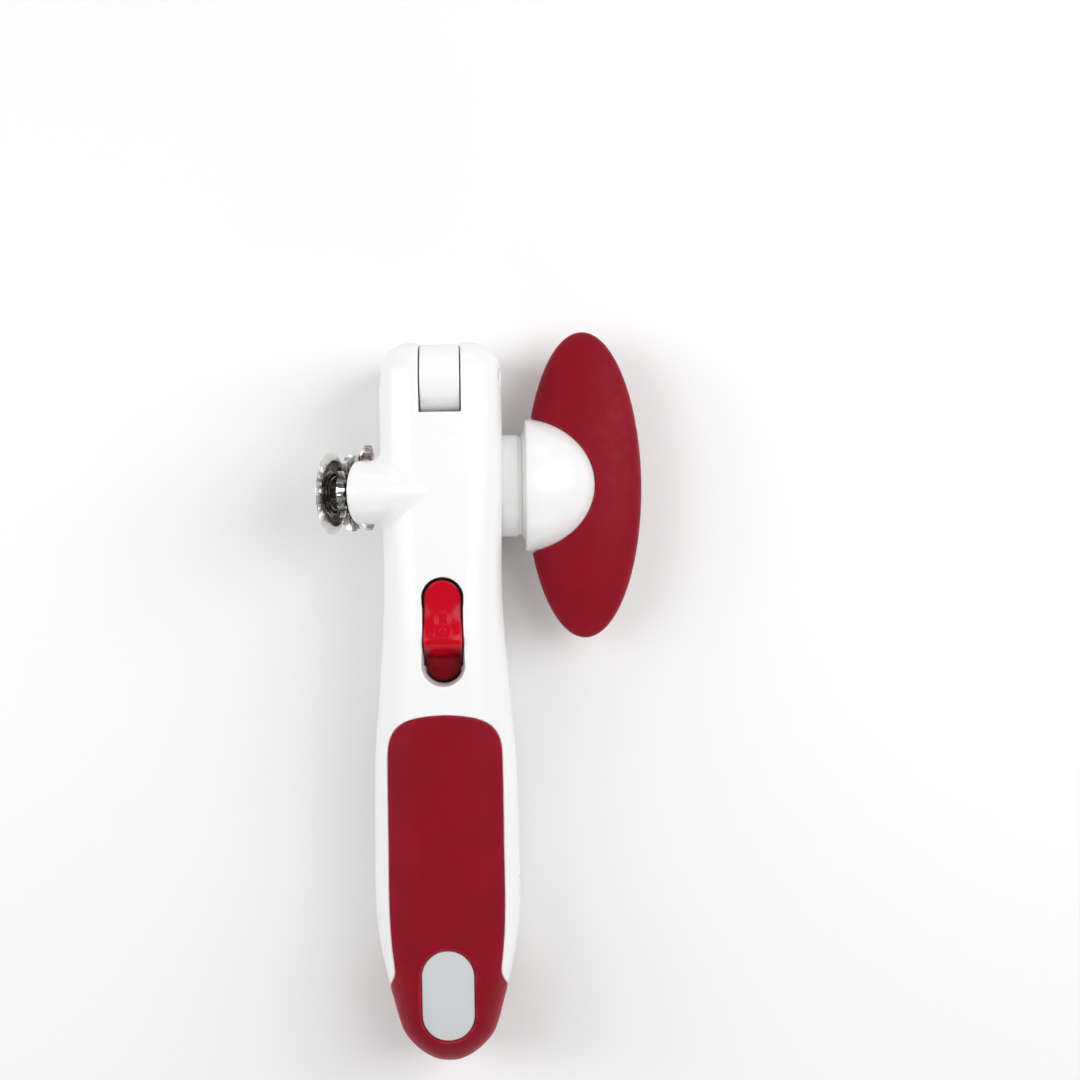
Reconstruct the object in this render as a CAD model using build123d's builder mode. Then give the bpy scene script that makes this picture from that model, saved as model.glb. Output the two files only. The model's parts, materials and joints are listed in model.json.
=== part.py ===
from build123d import *
from math import atan2, cos, pi, radians, sin
import os

# Manual can opener with a locking handle, lying on its lower half.
# +Y points to the nose, -Y to the handle end, +X to the knob, -X to the cutter.
# The origin is on the flat under the head, straight below the knob shaft.

os.makedirs("parts", exist_ok=True)

# ---------------------------------------------------------------- driving dimensions
NOSE_Y = 34.6
TIP_Y = -142.5
NOSE_ROUND = 7.6
BARREL_END = -128.0
HEAD_HALF = 14.9
HEAD_TOP = 43.0
HEAD_CORNER = 7.0
FLAT_SINK = 0.6

PIN_Y = 26.0
PIN_Z = 34.8
PIN_R = 2.0
KNUCKLE_R = 8.2
KNUCKLE_HALF = 4.8
KNUCKLE_GAP = 0.3
KNUCKLE_BACK_GAP = 0.4
PIN_HALF = 14.3
CHEEK_R = 9.2
SEAM_GAP = 0.6
SEAM_SLOPE = 0.0312
SEAM_AT_PIN = PIN_Z - CHEEK_R - SEAM_GAP / 2

WALL = 2.4
GRIP_DEPTH = 2.2
HANDLE_WALL = 4.4
COVER = 2.0
COVER_PLAY = 0.15
NECK_Y = -52.0
ROOM_END = -127.0
UPPER_ROOM_FRONT = 11.0
LOWER_ROOM_FRONT = -10.0

SHAFT_Z = 17.5
SHAFT_R = 3.0
RUN = 0.04
COLLAR_R = 12.8
COLLAR_X = 14.3
FLANGE_X = 19.8
DOME_X = 21.8
DOME_R = 16.6
DOME_DEPTH = 17.6
WING_X = 35.9
WING_SEMI = (14.2, 38.6, 7.3)
WING_CORE = (8.0, 30.0, 3.2)

TILT = radians(18)
DISC_R = 10.0
DISC = (-26.7, -1.7, 34.5)
GEAR_AT = 5.0
MOUTH_AT = 6.7
MOUTH_R = 8.0
CONE_LENGTH = 18.7
CONE_POWER = 1.7
CONE_TIP_R = 0.4
AXLE_R = 2.5
CUTTER_TEETH = 10
CUTTER_TIP_R = 9.7
CUTTER_ROOT_R = 6.6
DRIVE_TEETH = 11
DRIVE_TIP_R = 11.3
DRIVE_ROOT_R = 8.2
DRIVE_X = (-20.5, -17.7)
FEED_X = (-22.6, -20.7)
SPACER_L = 2.4
FEED_R = 8.4
FEED_TEETH = 26

WINDOW_W = 10.2
WINDOW_L = 26.6
WINDOW_Y = -35.6
BUTTON_W = 9.2
BUTTON_FRONT = -23.0
BUTTON_REAR = -47.8
LEVER_Y = -44.5
LEVER_Z = 33.6
LEVER_PIN_R = 1.2

GRIP_FRONT = -55.3
GRIP_HALF = 13.9
GRIP_FLARE = 0.6
GRIP_SHOULDER = -58.9
GRIP_CORNER = 6.0
PLATE_Y = -124.1
PLATE_W = 12.8
PLATE_L = 22.4
SCREW_Y = (-64.0, -104.0)

FAR = 60.0

# Stations along the body: y, half width, bottom, top, corner radius.
BARREL = [
    (27.0, HEAD_HALF, -FLAT_SINK, HEAD_TOP, HEAD_CORNER),
    (0.0, HEAD_HALF, -FLAT_SINK, HEAD_TOP, HEAD_CORNER),
    (-27.0, 14.5, -FLAT_SINK, 42.4, 8.5),
    (-48.0, 16.0, -FLAT_SINK, 41.4, 10.0),
    (-66.0, 17.4, -FLAT_SINK, 40.4, 11.0),
    (-86.0, 17.9, -FLAT_SINK, 39.8, 12.0),
    (-112.0, 17.3, -FLAT_SINK, 39.0, 12.0),
    (BARREL_END, 15.0, 0.2, 38.0, 11.0),
]
TIP_MID = 20.0
NOSE_TURNS = (90, 72, 50, 26)
TIP_TURNS = (22, 42, 58, 70, 80)


def seam_z(y):
    """Height of the parting seam between the two halves."""
    return SEAM_AT_PIN + (y - PIN_Y) * SEAM_SLOPE


def stations():
    """All stations of the body from the rounded nose to the rounded handle end."""
    rows = []
    for angle in NOSE_TURNS:
        inset = NOSE_ROUND * (1 - cos(radians(angle)))
        y = BARREL[0][0] + NOSE_ROUND * sin(radians(angle))
        corner = HEAD_CORNER - 0.7 * inset
        rows.append((y, HEAD_HALF - inset, inset - FLAT_SINK, HEAD_TOP - inset, corner))
    rows += BARREL
    last_y, last_half, last_bottom, last_top, last_corner = BARREL[-1]
    for angle in TIP_TURNS:
        shrink = cos(radians(angle))
        y = last_y + (TIP_Y - last_y) * sin(radians(angle))
        half = last_half * shrink**1.4
        bottom = TIP_MID - (TIP_MID - last_bottom) * shrink
        top = TIP_MID + (last_top - TIP_MID) * shrink
        rows.append((y, half, bottom, top, min(last_corner * shrink, 0.8 * half)))
    return rows


def body_loft(rows, inset, squeeze):
    """A loft through stations, drawn in by an inset on every side."""
    middle = (NOSE_Y + TIP_Y) / 2
    with BuildPart() as form:
        for y, half, bottom, top, corner in rows:
            width = 2 * (half - inset)
            height = top - bottom - 2 * inset
            place = middle + (y - middle) * squeeze
            round_off = min(max(corner - 0.7 * inset, 0.7), 0.45 * width)
            with BuildSketch(Plane.XZ.offset(-place)):
                with Locations((0, (bottom + top) / 2)):
                    RectangleRounded(width, height, round_off)
        loft()
    return form.part


def envelope(inset):
    """The whole body's outer form, drawn in on every side and at both ends."""
    middle = (NOSE_Y + TIP_Y) / 2
    rows = [row for row in stations() if row[1] - inset > 0.8]
    return body_loft(rows, inset, 1 - inset / (NOSE_Y - middle))


def cavity(inset):
    """The barrel of the body without its rounded ends, drawn in for a hollow."""
    return body_loft(BARREL, inset, 1)


def side_region(above, gap):
    """Everything above or below the seam, which runs round the hinge pin at the nose."""
    side = 1 if above else -1
    radius = PIN_Z - SEAM_AT_PIN - side * gap
    end_y = 1.5 * TIP_Y
    limit = FAR if above else -FAR
    with BuildPart() as region:
        with BuildSketch(Plane.YZ):
            with BuildLine():
                Line((end_y, seam_z(end_y) + side * gap), (PIN_Y, PIN_Z - radius))
                CenterArc((PIN_Y, PIN_Z), radius, 270, 90)
                Polyline(
                    (PIN_Y + radius, PIN_Z),
                    (FAR, PIN_Z),
                    (FAR, limit),
                    (end_y, limit),
                    (end_y, seam_z(end_y) + side * gap),
                )
            make_face()
        extrude(amount=FAR, both=True)
    return region.part


def slab(y_low, y_high, z_low, z_high, half):
    """A block across the body, centred on x = 0."""
    with BuildPart() as block:
        with Locations((0, (y_low + y_high) / 2, (z_low + z_high) / 2)):
            Box(2 * half, y_high - y_low, z_high - z_low)
    return block.part


def stretch(form, y_low, y_high):
    """The part of a form that lies between two places on Y."""
    with BuildPart() as piece:
        add(form)
        add(slab(y_low, y_high, 0, FAR, FAR), mode=Mode.INTERSECT)
    return piece.part


def stadium(width, length, y, z_low, z_high):
    """An upright stadium-shaped prism, long along Y."""
    with BuildPart() as prism:
        with BuildSketch(Plane.XY.offset(z_low)):
            with Locations((0, y)):
                SlotOverall(length, width, rotation=90)
        extrude(amount=z_high - z_low)
    return prism.part


def x_cylinder(radius, x_low, x_high, y, z):
    """A cylinder along X."""
    with BuildPart() as rod:
        with BuildSketch(Plane.YZ.offset(x_low)):
            with Locations((y, z)):
                Circle(radius)
        extrude(amount=x_high - x_low)
    return rod.part


def axle_plane(distance):
    """The plane square to the cutter's tilted axle, a distance inwards from the disc."""
    return Plane(
        origin=(DISC[0] + distance * cos(TILT), DISC[1], DISC[2] + distance * sin(TILT)),
        x_dir=(0, 1, 0),
        z_dir=(cos(TILT), 0, sin(TILT)),
    )


AXLE = Axis(DISC, (cos(TILT), 0, sin(TILT)))
# Half plane through the axle: first coordinate outwards, second along the axle.
AXLE_HALF = Plane(origin=DISC, x_dir=(0, 1, 0), z_dir=(sin(TILT), 0, -cos(TILT)))
SHAFT = Axis((0, 0, SHAFT_Z), (1, 0, 0))
# Half plane through the shaft: first coordinate along the shaft, second upwards.
SHAFT_HALF = Plane(origin=(0, 0, SHAFT_Z), x_dir=(1, 0, 0), z_dir=(0, -1, 0))


def shaft_plane(x):
    """The plane square to the knob shaft at a given x, centred on the shaft."""
    return Plane(origin=(x, 0, SHAFT_Z), x_dir=(0, 1, 0), z_dir=(1, 0, 0))


def star_points(teeth, tip_r, root_r, start, tip_share, root_share):
    """Corner points of a wheel with coarse pointed teeth; shares are of one tooth pitch."""
    pitch = 2 * pi / teeth
    points = []
    for tooth in range(teeth):
        centre = start + tooth * pitch
        for radius, turn in (
            (root_r, -0.5 + root_share / 2),
            (tip_r, -tip_share / 2),
            (tip_r, tip_share / 2),
            (root_r, 0.5 - root_share / 2),
        ):
            angle = centre + turn * pitch
            points.append((radius * cos(angle), radius * sin(angle)))
    return points


def grip_outline(z_low, z_high):
    """Plan shape of a grip: an arch at the front, open past the handle end."""
    back_half = GRIP_HALF + GRIP_FLARE
    back_y = TIP_Y - 9
    with BuildPart() as prism:
        with BuildSketch(Plane.XY.offset(z_low)) as plan:
            with BuildLine():
                ThreePointArc(
                    (-GRIP_HALF, GRIP_SHOULDER), (0, GRIP_FRONT), (GRIP_HALF, GRIP_SHOULDER)
                )
                Polyline(
                    (GRIP_HALF, GRIP_SHOULDER),
                    (back_half, -100),
                    (back_half, back_y),
                    (-back_half, back_y),
                    (-back_half, -100),
                    (-GRIP_HALF, GRIP_SHOULDER),
                )
            make_face()
            fillet(plan.vertices().group_by(Axis.Y)[-1], GRIP_CORNER)
        extrude(amount=z_high - z_low)
    return prism.part


outer_form = envelope(0)
grip_bed = envelope(GRIP_DEPTH)
head_cavity = cavity(WALL)
head_cover_form = cavity(WALL + COVER_PLAY)
handle_room = stretch(cavity(HANDLE_WALL), ROOM_END, NECK_Y)
handle_cover_form = stretch(
    cavity(HANDLE_WALL + COVER_PLAY), ROOM_END + 2 * COVER_PLAY, NECK_Y - COVER_PLAY
)
upper_head_room = stretch(head_cavity, NECK_Y - 0.1, UPPER_ROOM_FRONT)
lower_head_room = stretch(head_cavity, NECK_Y - 0.1, LOWER_ROOM_FRONT)
upper_side = side_region(True, SEAM_GAP / 2)
lower_side = side_region(False, SEAM_GAP / 2)
over_table = slab(1.5 * TIP_Y, FAR, 0, FAR, FAR)

# ---------------------------------------------------------------- grips and end plate
with BuildPart() as upper_blank:
    add(outer_form)
    add(upper_side, mode=Mode.INTERSECT)
    add(grip_outline(0, FAR), mode=Mode.INTERSECT)
    add(grip_bed, mode=Mode.SUBTRACT)

with BuildPart() as upper_grip:
    add(upper_blank.part)
    add(stadium(PLATE_W + 0.3, PLATE_L + 0.3, PLATE_Y, 30, FAR), mode=Mode.SUBTRACT)

with BuildPart() as end_plate:
    add(envelope(0.5))
    add(stadium(PLATE_W, PLATE_L, PLATE_Y, 30, FAR), mode=Mode.INTERSECT)
    add(grip_bed, mode=Mode.SUBTRACT)

with BuildPart() as lower_blank:
    add(outer_form)
    add(lower_side, mode=Mode.INTERSECT)
    add(over_table, mode=Mode.INTERSECT)
    add(grip_outline(-5, FAR), mode=Mode.INTERSECT)
    add(grip_bed, mode=Mode.SUBTRACT)

with BuildPart() as lower_grip:
    add(lower_blank.part)

# ---------------------------------------------------------------- upper half
CONE_CUT_R = DRIVE_TIP_R + 0.9
BOSS_R = 4.6
BOSS_LENGTH = 9.5
COLLAR_ROOM = COLLAR_R + 0.5
cone_end = MOUTH_AT + CONE_LENGTH
cone_side = [
    (MOUTH_R - (MOUTH_R - CONE_TIP_R) * share**CONE_POWER, MOUTH_AT + CONE_LENGTH * share)
    for share in (0, 0.25, 0.5, 0.75, 1)
]

with BuildPart() as upper_shell:
    add(outer_form)
    add(upper_side, mode=Mode.INTERSECT)
    add(upper_head_room, mode=Mode.SUBTRACT)
    add(handle_room, mode=Mode.SUBTRACT)
    add(upper_blank.part, mode=Mode.SUBTRACT)
    # The cone that carries the cutter's axle, with a boss inside it.
    with BuildSketch(AXLE_HALF):
        with BuildLine():
            Polyline((CONE_TIP_R, cone_end), (0, cone_end), (0, MOUTH_AT), (MOUTH_R, MOUTH_AT))
            Spline(cone_side)
        make_face()
    revolve(axis=AXLE)
    with BuildSketch(axle_plane(MOUTH_AT)):
        Circle(BOSS_R)
    extrude(amount=BOSS_LENGTH)
    with BuildSketch(axle_plane(MOUTH_AT)):
        Circle(AXLE_R + 0.02)
    extrude(amount=BOSS_LENGTH - 1, mode=Mode.SUBTRACT)
    add(x_cylinder(CONE_CUT_R, -FAR, -HEAD_HALF - 0.3, 0, SHAFT_Z), mode=Mode.SUBTRACT)
    # Slot for the knuckle and the bore of the hinge pin.
    add(
        slab(
            PIN_Y - KNUCKLE_R - KNUCKLE_BACK_GAP,
            FAR,
            0,
            FAR,
            KNUCKLE_HALF + KNUCKLE_GAP,
        ),
        mode=Mode.SUBTRACT,
    )
    add(x_cylinder(PIN_R + 0.02, -FAR, FAR, PIN_Y, PIN_Z), mode=Mode.SUBTRACT)
    # Shallow seat beside the knob's collar.
    add(x_cylinder(COLLAR_ROOM, COLLAR_X - 0.3, FAR, 0, SHAFT_Z), mode=Mode.SUBTRACT)
    # Window of the release button and the two ribs that hold its pin.
    add(stadium(WINDOW_W, WINDOW_L, WINDOW_Y, 30, FAR), mode=Mode.SUBTRACT)
    for side in (-1, 1):
        with Locations((side * 6.7, LEVER_Y, (LEVER_Z + 40.5) / 2 - 1)):
            Box(2.0, 5.0, 40.5 - LEVER_Z + 2)
    add(x_cylinder(LEVER_PIN_R + 0.02, -7.2, 7.2, LEVER_Y, LEVER_Z), mode=Mode.SUBTRACT)
    # Bosses for the cover's screws.
    for y in SCREW_Y:
        floor = seam_z(y) + SEAM_GAP / 2 + COVER + 0.15
        with BuildSketch(Plane.XY.offset(floor)):
            with Locations((0, y)):
                Circle(3.2)
                Circle(1.27, mode=Mode.SUBTRACT)
        extrude(amount=37 - floor - 1)

with BuildPart() as upper_inner_cover:
    add(handle_cover_form)
    add(stretch(head_cover_form, NECK_Y - COVER_PLAY, UPPER_ROOM_FRONT - COVER_PLAY))
    add(upper_side, mode=Mode.INTERSECT)
    add(side_region(True, SEAM_GAP / 2 + COVER), mode=Mode.SUBTRACT)
    add(slab(-45.4, -39.8, 0, FAR, 3.8), mode=Mode.SUBTRACT)
    for y in SCREW_Y:
        with Locations((0, y, seam_z(y) + SEAM_GAP / 2)):
            Cylinder(1.4, 10, mode=Mode.SUBTRACT)
            Cone(2.5, 1.4, 1.2, align=(Align.CENTER, Align.CENTER, Align.MIN), mode=Mode.SUBTRACT)


def cover_screw(y, base, direction):
    """A countersunk self-tapping screw, its head flush in a cover."""
    with BuildPart() as screw:
        face = Plane(origin=(0, y, base), x_dir=(1, 0, 0), z_dir=(0, 0, direction))
        with BuildSketch(face.offset(0.1)):
            Circle(2.2)
        extrude(amount=1.2, taper=45)
        with BuildSketch(face.offset(0.1)):
            Circle(1.2)
        extrude(amount=8)
        with BuildSketch(face.offset(0.1)):
            Rectangle(2.6, 0.5)
            Rectangle(0.5, 2.6)
        extrude(amount=0.7, mode=Mode.SUBTRACT)
    return screw.part


with BuildPart() as upper_cover_screws:
    for y in SCREW_Y:
        add(cover_screw(y, seam_z(y) + SEAM_GAP / 2, 1))

with BuildPart() as hinge_pin:
    add(x_cylinder(PIN_R, -PIN_HALF, PIN_HALF, PIN_Y, PIN_Z))
    chamfer(hinge_pin.edges().filter_by(GeomType.CIRCLE), 0.3)

with BuildPart() as lever_pin:
    add(x_cylinder(LEVER_PIN_R, -7.1, 7.1, LEVER_Y, LEVER_Z))

# ---------------------------------------------------------------- cutter
with BuildPart() as cutter_axle:
    with BuildSketch(axle_plane(-1.4)):
        Circle(AXLE_R)
    extrude(amount=1.4 + MOUTH_AT + BOSS_LENGTH - 1.4)
    with BuildSketch(axle_plane(-2.6)):
        Circle(4.0)
    extrude(amount=1.2)
    chamfer(cutter_axle.faces().sort_by(Axis.X)[0].edges(), 0.5)

with BuildPart() as cutter_washer:
    with BuildSketch(axle_plane(MOUTH_AT - 0.45)):
        Circle(4.6)
        Circle(AXLE_R + 0.05, mode=Mode.SUBTRACT)
    extrude(amount=0.4)

BORE_R = AXLE_R + 0.05
with BuildPart() as cutting_wheel:
    with BuildSketch(AXLE_HALF):
        with BuildLine():
            Polyline(
                (BORE_R, -1.3),
                (7.4, -1.3),
                (DISC_R, -0.1),
                (DISC_R, 0.05),
                (8.2, 0.9),
                (7.6, 0.3),
                (4.6, 0.0),
                (4.4, 1.2),
                (BORE_R, 1.2),
                (BORE_R, -1.3),
            )
        make_face()
    revolve(axis=AXLE)

GEAR_HALF = 1.2
# Direction from the drive gear to the cutter gear, seen along the shaft. A drive tooth
# stands on it and a gap of the cutter gear faces that tooth.
MESH_ANGLE = atan2(DISC[2] + GEAR_AT * sin(TILT) - SHAFT_Z, DISC[1])
TOOTH_TIP = 0.12
TOOTH_GAP = 0.34
with BuildPart() as cutter_gear:
    with BuildSketch(axle_plane(GEAR_AT - GEAR_HALF)):
        with BuildLine():
            Polyline(
                star_points(
                    CUTTER_TEETH,
                    CUTTER_TIP_R,
                    CUTTER_ROOT_R,
                    MESH_ANGLE + pi + pi / CUTTER_TEETH,
                    TOOTH_TIP,
                    TOOTH_GAP,
                ),
                close=True,
            )
        make_face()
        Circle(BORE_R, mode=Mode.SUBTRACT)
    extrude(amount=2 * GEAR_HALF)
    with BuildSketch(axle_plane(1.3)):
        Circle(3.8)
        Circle(BORE_R, mode=Mode.SUBTRACT)
    extrude(amount=GEAR_AT - GEAR_HALF - 1.3)

# ---------------------------------------------------------------- drive
SHAFT_END = FEED_X[0] - 1.3
with BuildPart() as drive_shaft:
    with BuildSketch(SHAFT_HALF):
        with BuildLine():
            Polyline(
                (SHAFT_END, 0),
                (SHAFT_END, 3.4),
                (SHAFT_END + 0.4, 4.4),
                (FEED_X[0] - 0.02, 4.4),
                (FEED_X[0] - 0.02, SHAFT_R),
                (27.4, SHAFT_R),
                (28.0, SHAFT_R - 0.6),
                (28.0, 0),
                (SHAFT_END, 0),
            )
        make_face()
    revolve(axis=SHAFT)

with BuildPart() as feed_wheel:
    with BuildSketch(shaft_plane(FEED_X[0])):
        with BuildLine():
            Polyline(star_points(FEED_TEETH, FEED_R, FEED_R - 0.8, 0, 0.2, 0.2), close=True)
        make_face()
        Circle(SHAFT_R + 0.02, mode=Mode.SUBTRACT)
    extrude(amount=FEED_X[1] - FEED_X[0])

with BuildPart() as drive_gear:
    with BuildSketch(shaft_plane(DRIVE_X[0])):
        with BuildLine():
            Polyline(
                star_points(
                    DRIVE_TEETH, DRIVE_TIP_R, DRIVE_ROOT_R, MESH_ANGLE, TOOTH_TIP, TOOTH_GAP
                ),
                close=True,
            )
        make_face()
        Circle(SHAFT_R + 0.02, mode=Mode.SUBTRACT)
    extrude(amount=DRIVE_X[1] - DRIVE_X[0])
    with BuildSketch(shaft_plane(FEED_X[1] + 0.01)):
        Circle(6.0)
        Circle(SHAFT_R + 0.02, mode=Mode.SUBTRACT)
    extrude(amount=DRIVE_X[0] - FEED_X[1] - 0.01)

with BuildPart() as shaft_washer:
    with BuildSketch(shaft_plane(DRIVE_X[1] + 0.02)):
        Circle(6.2)
        Circle(SHAFT_R + 0.02, mode=Mode.SUBTRACT)
    extrude(amount=SPACER_L)

# ---------------------------------------------------------------- knob
with BuildPart() as knob_collar:
    with BuildSketch(SHAFT_HALF):
        with BuildLine():
            Polyline(
                (COLLAR_X, SHAFT_R + 0.02),
                (COLLAR_X, COLLAR_R - 0.6),
                (COLLAR_X + 0.6, COLLAR_R),
                (FLANGE_X - 0.05, COLLAR_R),
                (FLANGE_X - 0.05, SHAFT_R + 0.02),
                (COLLAR_X, SHAFT_R + 0.02),
            )
        make_face()
    revolve(axis=SHAFT)

with BuildPart() as wing_form:
    Sphere(1)
    scale(by=WING_SEMI)
with BuildPart() as wing_core:
    Sphere(1)
    scale(by=WING_CORE)
KNOB_CENTRE = Pos(WING_X, 0, SHAFT_Z)

with BuildPart() as dome_blank:
    with BuildSketch(SHAFT_HALF):
        with BuildLine():
            Polyline((FLANGE_X, 0), (FLANGE_X, COLLAR_R + 0.4), (DOME_X, DOME_R))
            EllipticalCenterArc((DOME_X, 0), DOME_DEPTH, DOME_R, start_angle=0, arc_size=90)
            Line((DOME_X + DOME_DEPTH, 0), (FLANGE_X, 0))
        make_face()
    revolve(axis=SHAFT)

with BuildPart() as knob_hub:
    add(dome_blank.part)
    add(KNOB_CENTRE * wing_core.part)
    add(x_cylinder(SHAFT_R + 0.02, FLANGE_X - 1, 28.2, 0, SHAFT_Z), mode=Mode.SUBTRACT)

with BuildPart() as knob_grip:
    add(KNOB_CENTRE * wing_form.part)
    add(dome_blank.part, mode=Mode.SUBTRACT)
    add(KNOB_CENTRE * wing_core.part, mode=Mode.SUBTRACT)

# ---------------------------------------------------------------- release lever
with BuildPart() as release_button:
    with BuildSketch(Plane.YZ):
        with BuildLine():
            Polyline(
                (BUTTON_FRONT - 0.9, 42.0),
                (BUTTON_FRONT, 41.2),
                (BUTTON_FRONT, 36.4),
                (-39.4, 36.4),
                (-40.2, 31.0),
                (BUTTON_REAR + 0.6, 31.0),
                (BUTTON_REAR, 31.6),
                (BUTTON_REAR, 35.7),
                (-43.0, 36.1),
            )
            ThreePointArc((-43.0, 36.1), (-40.7, 38.1), (-38.6, 42.6))
            ThreePointArc((-38.6, 42.6), (-37.5, 43.3), (-36.2, 43.0))
            ThreePointArc((-36.2, 43.0), (-29.8, 41.2), (BUTTON_FRONT - 0.9, 42.0))
        make_face()
    extrude(amount=BUTTON_W, both=True)
    add(
        stadium(
            BUTTON_W,
            BUTTON_FRONT - BUTTON_REAR,
            (BUTTON_FRONT + BUTTON_REAR) / 2,
            20,
            FAR,
        ),
        mode=Mode.INTERSECT,
    )
    add(x_cylinder(LEVER_PIN_R + 0.05, -FAR, FAR, LEVER_Y, LEVER_Z), mode=Mode.SUBTRACT)
    add(slab(-42.65, -40.95, 20, 35.05, 3.05), mode=Mode.SUBTRACT)

HOOK_FRONT = -41.0
with BuildPart() as latch_hook:
    with BuildSketch(Plane.YZ):
        with BuildLine():
            Polyline(
                (HOOK_FRONT, 35.0),
                (HOOK_FRONT, 18.5),
                (HOOK_FRONT + 2.2, 18.3),
                (HOOK_FRONT + 2.2, 17.8),
                (HOOK_FRONT, 16.6),
                (HOOK_FRONT - 1.6, 16.6),
                (HOOK_FRONT - 1.6, 35.0),
                (HOOK_FRONT, 35.0),
            )
        make_face()
    extrude(amount=3.0, both=True)

SPRING_Y = -28.5
SPRING_BASE = seam_z(SPRING_Y) + SEAM_GAP / 2 + COVER + 0.1
SPRING_TOP = 36.3
SPRING_R = 2.6
WIRE_R = 0.35
with BuildPart() as button_spring:
    with BuildLine(Plane.XY.offset(SPRING_BASE + WIRE_R)):
        coil = Helix(
            pitch=(SPRING_TOP - SPRING_BASE - 2 * WIRE_R) / 5,
            height=SPRING_TOP - SPRING_BASE - 2 * WIRE_R,
            radius=SPRING_R,
            center=(0, SPRING_Y, 0),
        )
    with BuildSketch(Plane(origin=coil @ 0, z_dir=coil % 0)):
        Circle(WIRE_R)
    sweep(is_frenet=True)

# ---------------------------------------------------------------- lower half
BUSH_R = 5.0
BUSH_LENGTH = 5.0
LEFT_BUSH_X = 0.05 - HEAD_HALF
RIGHT_BUSH_X = COLLAR_X - 0.3 - BUSH_LENGTH
MAGNET_R = 6.0
MAGNET_Z = 14.5
MAGNET_L = 4.0
CATCH_TOP = 20.8
CATCH_SCREW_Y = -32.5

with BuildPart() as lower_shell:
    add(outer_form)
    add(lower_side, mode=Mode.INTERSECT)
    add(over_table, mode=Mode.INTERSECT)
    add(lower_head_room, mode=Mode.SUBTRACT)
    add(handle_room, mode=Mode.SUBTRACT)
    add(lower_blank.part, mode=Mode.SUBTRACT)
    # Knuckle that rises between the upper half's cheeks.
    with BuildSketch(Plane.YZ):
        with Locations((PIN_Y, PIN_Z)):
            Circle(KNUCKLE_R)
        with Locations((PIN_Y, (PIN_Z + 20) / 2)):
            Rectangle(2 * KNUCKLE_R, PIN_Z - 20)
    extrude(amount=KNUCKLE_HALF, both=True)
    add(x_cylinder(PIN_R + RUN, -FAR, FAR, PIN_Y, PIN_Z), mode=Mode.SUBTRACT)
    # Shaft bore with a bush seat at each end, and the seat of the collar.
    add(x_cylinder(SHAFT_R + 0.4, -FAR, FAR, 0, SHAFT_Z), mode=Mode.SUBTRACT)
    add(
        x_cylinder(BUSH_R + 0.02, -FAR, LEFT_BUSH_X + BUSH_LENGTH, 0, SHAFT_Z),
        mode=Mode.SUBTRACT,
    )
    add(x_cylinder(BUSH_R + 0.02, RIGHT_BUSH_X, FAR, 0, SHAFT_Z), mode=Mode.SUBTRACT)
    add(x_cylinder(COLLAR_ROOM, COLLAR_X - 0.3, FAR, 0, SHAFT_Z), mode=Mode.SUBTRACT)
    # Pocket of the lid magnet in the nose.
    with BuildSketch(Plane.XZ.offset(-(NOSE_Y - MAGNET_L))):
        with Locations((0, MAGNET_Z)):
            Circle(MAGNET_R + 0.1)
    extrude(amount=-FAR, mode=Mode.SUBTRACT)
    for y in SCREW_Y:
        ceiling = seam_z(y) - SEAM_GAP / 2 - COVER - 0.15
        with BuildSketch(Plane.XY.offset(3.5)):
            with Locations((0, y)):
                Circle(3.2)
        extrude(amount=ceiling - 3.5)
        with BuildSketch(Plane.XY.offset(ceiling - 9)):
            with Locations((0, y)):
                Circle(1.27)
        extrude(amount=9, mode=Mode.SUBTRACT)

with BuildPart() as lower_inner_cover:
    add(handle_cover_form)
    add(stretch(head_cover_form, NECK_Y - COVER_PLAY, LOWER_ROOM_FRONT - COVER_PLAY))
    add(lower_side, mode=Mode.INTERSECT)
    add(side_region(False, SEAM_GAP / 2 + COVER), mode=Mode.SUBTRACT)
    add(slab(-46.5, -38.2, 0, FAR, 5.0), mode=Mode.SUBTRACT)
    for y in SCREW_Y:
        with Locations((0, y, seam_z(y) - SEAM_GAP / 2)):
            Cylinder(1.4, 10, mode=Mode.SUBTRACT)
            Cone(1.4, 2.5, 1.2, align=(Align.CENTER, Align.CENTER, Align.MAX), mode=Mode.SUBTRACT)
    with Locations((0, CATCH_SCREW_Y, 20)):
        Cylinder(1.4, 20, mode=Mode.SUBTRACT)
    with Locations((0, CATCH_SCREW_Y, seam_z(CATCH_SCREW_Y) - SEAM_GAP / 2)):
        Cone(1.4, 2.5, 1.2, align=(Align.CENTER, Align.CENTER, Align.MAX), mode=Mode.SUBTRACT)

with BuildPart() as lower_cover_screws:
    for y in SCREW_Y:
        add(cover_screw(y, seam_z(y) - SEAM_GAP / 2, -1))

with BuildPart() as latch_catch:
    add(slab(-40.7, -28.5, 19.0, CATCH_TOP, 4.0))
    with Locations((0, CATCH_SCREW_Y, CATCH_TOP)):
        Cylinder(1.22, 10, mode=Mode.SUBTRACT)

with BuildPart() as catch_screw:
    add(cover_screw(CATCH_SCREW_Y, seam_z(CATCH_SCREW_Y) - SEAM_GAP / 2, -1))


def shaft_bush(x_low):
    """A plain bush for the knob shaft."""
    with BuildPart() as bush:
        with BuildSketch(Plane.YZ.offset(x_low)):
            with Locations((0, SHAFT_Z)):
                Circle(BUSH_R)
                Circle(SHAFT_R + RUN, mode=Mode.SUBTRACT)
        extrude(amount=BUSH_LENGTH)
    return bush


drive_bush_left = shaft_bush(LEFT_BUSH_X)
drive_bush_right = shaft_bush(RIGHT_BUSH_X)

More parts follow.
